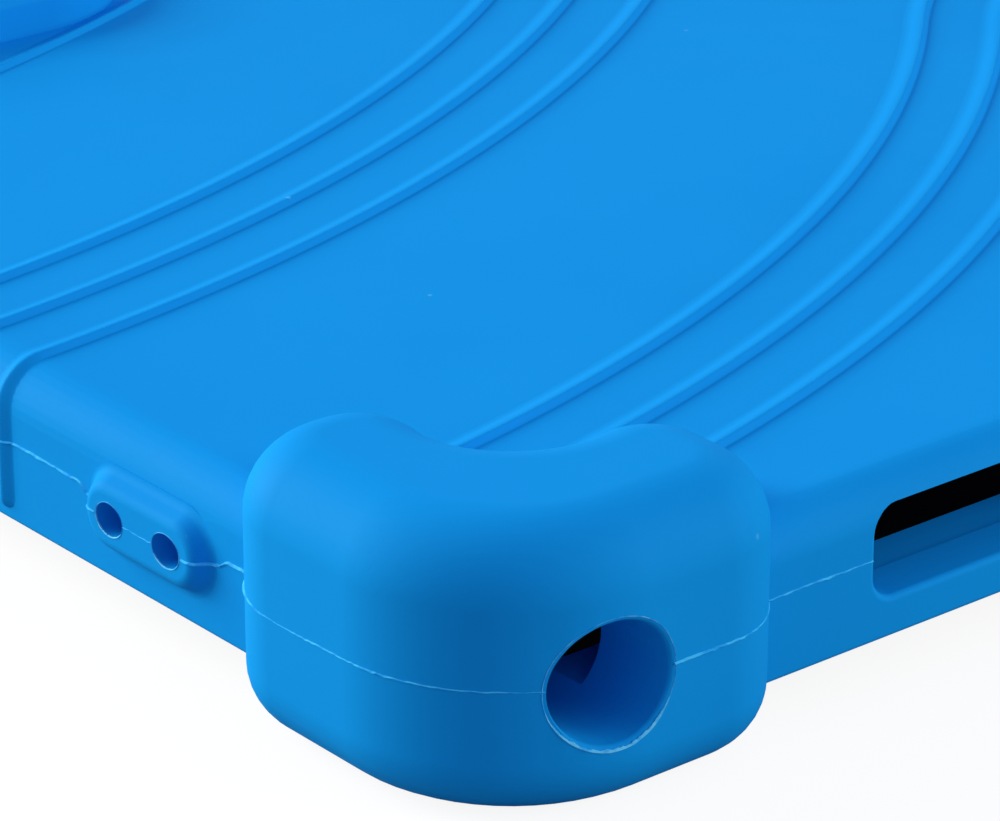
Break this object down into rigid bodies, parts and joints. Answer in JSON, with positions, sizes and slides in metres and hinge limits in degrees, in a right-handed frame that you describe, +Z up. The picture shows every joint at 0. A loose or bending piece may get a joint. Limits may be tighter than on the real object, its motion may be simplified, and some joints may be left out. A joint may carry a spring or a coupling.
{
  "type": "rugged tablet case",
  "caption": "One-piece silicone tablet case with thick corner bumpers, wave ribs on its back, wall openings and an open screen side.",
  "frame": {"origin": "centre of the case's footprint, at the height of the bumpers' feet", "axes": "+X along the long side, +Y across it, +Z up out of the back; the screen side faces down"},
  "size_m": [0.27, 0.181, 0.0215],
  "materials": {
    "silicone": "matte moulded silicone rubber, blue"
  },
  "bodies": {
    "root": {"tablet_case": "silicone"}
  },
  "joints": []
}
